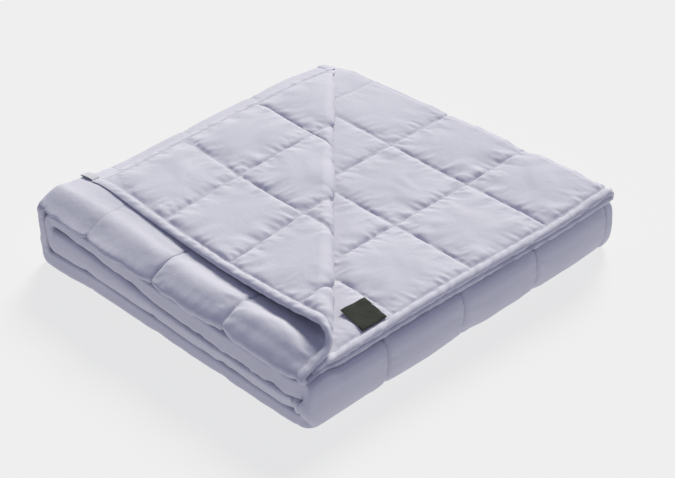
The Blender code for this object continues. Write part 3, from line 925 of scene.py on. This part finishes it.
shell_cloth = cloth("brushed_cloth", CLOTH)
tape_cloth = cloth("binding_tape", TAPE_CLOTH, thread=0.00055, rumple=0.5)
label_cloth = cloth("woven_label", LABEL_CLOTH, thread=0.00060, rumple=0.1, cloud=0.1)
loop_cloth = cloth("loop_tape", LOOP_CLOTH, thread=0.0016, rumple=0.1)
# the thread's darker colour is painted shade of the seam grooves
painted_shade_thread = cloth("sewing_thread_painted_shade", THREAD_WITH_PAINTED_SHADE, thread=0.0004, rumple=0.0)
for made in shell:
    made.data.materials.append(shell_cloth)
binding.data.materials.append(tape_cloth)
label.data.materials.append(label_cloth)
loop.data.materials.append(loop_cloth)

# %% [markdown]
# ## Stitches
# A seam is short threads in a row with a small gap between. That is a shape that repeats along a path, so
# Geometry Nodes makes it: the path becomes a curve with a point for each stitch, and a small grain of thread
# is set on every point and turned along the path.

# %% A tree that sews along a path
STITCH, THREAD = 0.0036, 0.00034  # from one stitch to the next, and half the thread's thickness
STITCH_HALF = 0.42  # half a stitch's length, as a share of that distance


def sewing_tree(material):
    tree = bpy.data.node_groups.new("sewing", "GeometryNodeTree")
    kinds = {"Path": "NodeSocketGeometry", "Stitch": "NodeSocketFloat", "Thread": "NodeSocketFloat"}
    for name, kind in kinds.items():
        tree.interface.new_socket(name, in_out="INPUT", socket_type=kind)
    tree.interface.new_socket("Sewn", in_out="OUTPUT", socket_type="NodeSocketGeometry")
    field = Field(tree)
    given = tree.nodes.new("NodeGroupInput")
    path, stitch, thick = (Field(tree, socket) for socket in given.outputs[:3])
    curve = field.node("GeometryNodeMeshToCurve", values={0: path})
    spaced = field.node("GeometryNodeResampleCurve", {"mode": "LENGTH"}, {"Curve": curve, "Length": stitch})
    ahead = field.node("GeometryNodeInputTangent")
    turned = field.node("FunctionNodeAlignRotationToVector", {"axis": "X"}, {"Vector": ahead})
    grain = field.node("GeometryNodeMeshIcoSphere", values={"Radius": 1.0, "Subdivisions": 1})
    size = field.node("ShaderNodeCombineXYZ", values={0: stitch * STITCH_HALF, 1: thick, 2: thick})
    grains = {"Points": spaced, "Instance": grain, "Rotation": turned, "Scale": size}
    sewn = field.node("GeometryNodeInstanceOnPoints", values=grains)
    real = field.node("GeometryNodeRealizeInstances", values={0: sewn})
    shaded = field.node("GeometryNodeSetShadeSmooth", values={0: real})
    dyed = field.node("GeometryNodeSetMaterial", values={0: shaded, "Material": material})
    end = tree.nodes.new("NodeGroupOutput")
    tree.links.new(dyed.socket, end.inputs[0])
    return tree


SEWING = sewing_tree(painted_shade_thread)


def sew(name, paths):
    """Sews along paths of points and returns the stitches as one plain mesh."""
    mesh = bpy.data.meshes.new(name + "_path")
    points = np.concatenate(paths)
    edges, first = [], 0
    for path in paths:
        edges += [(first + i, first + i + 1) for i in range(len(path) - 1)]
        first += len(path)
    mesh.from_pydata(points.tolist(), edges, [])
    guide = placed(name + "_path", mesh)
    change = guide.modifiers.new("sewing", "NODES")
    change.node_group = SEWING
    sizes = {"Stitch": STITCH, "Thread": THREAD}
    for item in SEWING.interface.items_tree:
        if item.in_out == "INPUT" and item.name in sizes:
            change[item.identifier] = sizes[item.name]
    ready = guide.evaluated_get(bpy.context.evaluated_depsgraph_get())
    stitches = bpy.data.meshes.new_from_object(ready)
    bpy.data.objects.remove(guide, do_unlink=True)
    print(name, "has", len(stitches.polygons), "faces")
    return placed(name, stitches)


# %% [markdown]
# ## Where the stitches run
# They run along every quilting line that shows, and round the binding's inner edge on both sides.

# %% Sew the seams and the binding
SEAM_STEP = 0.0030
ON_TOP = 0.00015  # how far the thread stands off the cloth


def seam_paths(long, wide, side):
    """The quilting lines inside a range of squares, on one side of the cloth."""
    (first_x, last_x), (first_y, last_y) = long, wide
    x_run = np.arange(SEAMS_X[first_x], SEAMS_X[last_x], SEAM_STEP)
    y_run = np.arange(SEAMS_Y[first_y], SEAMS_Y[last_y], SEAM_STEP)
    off = side * (SEAM + ON_TOP)
    paths = []
    for seam in range(max(first_x, 1), last_x + 1):
        paths.append(carried(SEAMS_X[seam], y_run, off))
    for seam in range(max(first_y, 1), min(last_y, SQUARES_WIDE - 1) + 1):
        paths.append(carried(x_run, SEAMS_Y[seam], off))
    return paths


# The squares with seams that show, along and across, and the side of the cloth
SHOWN = (("middle", (0, 4), (0, 4), 1), ("upper", (0, 4), (8, 12), 1),
         ("flap", (0, 4), (8, 12), -1), ("sides", (4, 10), (8, 12), 1))
stitches = [sew("stitches_" + name, seam_paths(*where)) for name, *where in SHOWN]
tape_lines = [carried(*around(STITCH_INSET).T, side * STITCH_OFF) for side in (1, -1)]
stitches.append(sew("stitches_binding", tape_lines))

# %% [markdown]
# ## Ride and replace
# Nothing moves by itself, so all pieces ride on one body, and the frame's parts that they stand in for are
# hidden. The shell's sections are parts of one folded sheet; the flat size that each was cut to is worked
# out, but not passed on.

# %% Put each piece on the body and hide what it stands in for
def cut_size(section):
    wide = (section.wide[1] - section.wide[0]) * SQUARE_Y
    long = (section.long[1] - section.long[0]) * SQUARE_X
    return wide, long


for made, section in zip(shell, SECTIONS):
    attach(made, "root")
    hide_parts("quilted_shell")
    cut_size(section)
sewn_on = (
    (binding, "binding", "binding_tape"),
    (label, "side_label", "label_cloth"),
    (loop, "corner_loop", "loop_tape"),
)
for made, node, slot in sewn_on:
    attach(made, "root")
    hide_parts(node)
for made in stitches:
    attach(made, "root")

# %% [markdown]
# ## Floor
# The floor is plain and pale. It gives off some light of its own, so that it stays white in the shade.

# %% Floor
FLOOR_HALF, FLOOR_LOW = 6.0, 0.0005  # half its side, and how far it lies under the blanket
FLOOR_GLOW = 0.74
floor_mesh = bpy.data.meshes.new("floor")
floor_corners = [(x * FLOOR_HALF, y * FLOOR_HALF, 0) for x, y in ((-1, -1), (1, -1), (1, 1), (-1, 1))]
floor_mesh.from_pydata(floor_corners, [], [(0, 1, 2, 3)])
floor = placed("floor", floor_mesh)
floor.location.z = -FLOOR_LOW
pale = bpy.data.materials.new("pale_floor")
pale.use_nodes = True
paper = pale.node_tree.nodes["Principled BSDF"]
set_inputs(paper, {"Base Color": (0.12, 0.12, 0.12, 1), "Roughness": 1.0, "Specular IOR Level": 0.0})
set_inputs(paper, {"Emission Color": (1, 1, 1, 1), "Emission Strength": FLOOR_GLOW})
floor_mesh.materials.append(pale)

# %% [markdown]
# ## Light
# The light is broad and comes from above and behind, so both sides that face the camera are in soft shade. A
# bluish sky fills that shade.

# %% Light
SUN_FROM = (-0.60, 1.10, 1.0)
sun = bpy.data.lights.new("sky_panel", "SUN")
sun.energy = 3.9
sun.color = (1.0, 0.985, 0.84)
sun.angle = math.radians(24)
panel = placed("sky_panel", sun)
panel.rotation_euler = Vector(SUN_FROM).to_track_quat("Z", "Y").to_euler()
world = bpy.data.worlds.new("studio")
world.use_nodes = True
set_inputs(world.node_tree.nodes["Background"], {"Color": (0.68, 0.72, 1.0, 1), "Strength": 0.36})
bpy.context.scene.world = world
bpy.context.scene.view_settings.view_transform = "Standard"

# %% [markdown]
# ## Camera
# Its place, aim and lens were found by fitting it to the seams on top of the pack.

# %% Camera
CAMERA_AT = Vector((1.7686, -1.5192, 1.6627))
CAMERA_TO = Vector((0.0475, -0.0209, 0.0600))
CAMERA_ROLL = math.radians(-3.29)
view = bpy.data.cameras.new("view")
view.lens = 120.84
view.sensor_width = 36
camera = placed("view", view)
camera.location = CAMERA_AT
aim = (CAMERA_TO - CAMERA_AT).to_track_quat("-Z", "Y")
camera.rotation_euler = (aim @ Euler((0, 0, CAMERA_ROLL)).to_quaternion()).to_euler()
bpy.context.scene.camera = camera
